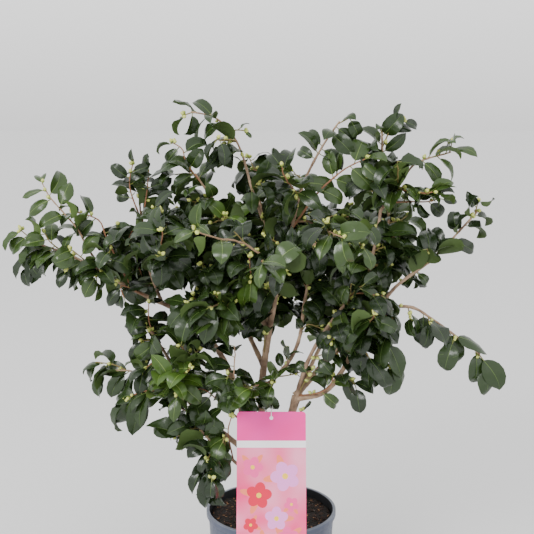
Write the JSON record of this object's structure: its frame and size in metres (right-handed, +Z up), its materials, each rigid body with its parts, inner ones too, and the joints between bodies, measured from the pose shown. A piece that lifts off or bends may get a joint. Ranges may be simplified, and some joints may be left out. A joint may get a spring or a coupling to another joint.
{
  "type": "camellia shrub in a nursery pot",
  "caption": "Bushy evergreen camellia in bud, with several woody stems, standing in a plastic nursery pot with a hanging card.",
  "frame": {"origin": "middle of the pot's flat underside, on the surface it stands on", "axes": "+Z up along the pot's axis, the front with the hanging card faces -Y, +X to the right of a viewer in front"},
  "size_m": [0.8077, 0.5667, 0.8763],
  "materials": {
    "pot": "satin blue-grey moulded plastic",
    "soil": "damp dark compost with bark chips",
    "bark": "thin smooth tan bark",
    "foliage": "glossy dark green leaves",
    "card": "printed pink plastic card",
    "tie": "thin white plastic tie"
  },
  "bodies": {
    "root": {"bough_back": "bark", "bough_back_left": "bark", "bough_back_right": "bark", "bough_centre_right": "bark", "bough_left_arm": "bark", "bough_left_hang": "bark", "bough_left_low": "bark", "bough_left_rise": "bark", "bough_right_arm": "bark", "bough_right_inner": "bark", "bough_right_main": "bark", "bough_right_outer": "bark", "bough_right_spray": "bark", "bough_skirt": "bark", "bough_top": "bark", "bough_top_left": "bark", "bough_top_right": "bark", "bough_upper_left": "bark", "leaves_back_centre": "foliage", "leaves_centre": "foliage", "leaves_centre_left": "foliage", "leaves_front_centre": "foliage", "leaves_front_left": "foliage", "leaves_front_right": "foliage", "leaves_heart": "foliage", "leaves_left_arm": "foliage", "leaves_left_crest": "foliage", "leaves_left_foot": "foliage", "leaves_left_hang": "foliage", "leaves_left_heart": "foliage", "leaves_left_low": "foliage", "leaves_left_shoulder": "foliage", "leaves_rear_left": "foliage", "leaves_rear_right": "foliage", "leaves_rear_top": "foliage", "leaves_right_back": "foliage", "leaves_right_drop": "foliage", "leaves_right_heart": "foliage", "leaves_right_hem": "foliage", "leaves_right_leafy": "foliage", "leaves_right_low": "foliage", "leaves_right_peak": "foliage", "leaves_right_spray": "foliage", "leaves_right_tip": "foliage", "leaves_skirt_front": "foliage", "leaves_skirt_left": "foliage", "leaves_top_centre": "foliage", "leaves_top_left": "foliage", "leaves_top_left_tip": "foliage", "leaves_top_middle": "foliage", "leaves_upper_left": "foliage", "leaves_upper_right": "foliage", "pot": "pot", "soil": "soil", "stem_centre": "bark", "stem_left": "bark", "stem_right": "bark", "tag_card": "card", "tag_tie": "tie"}
  },
  "joints": []
}
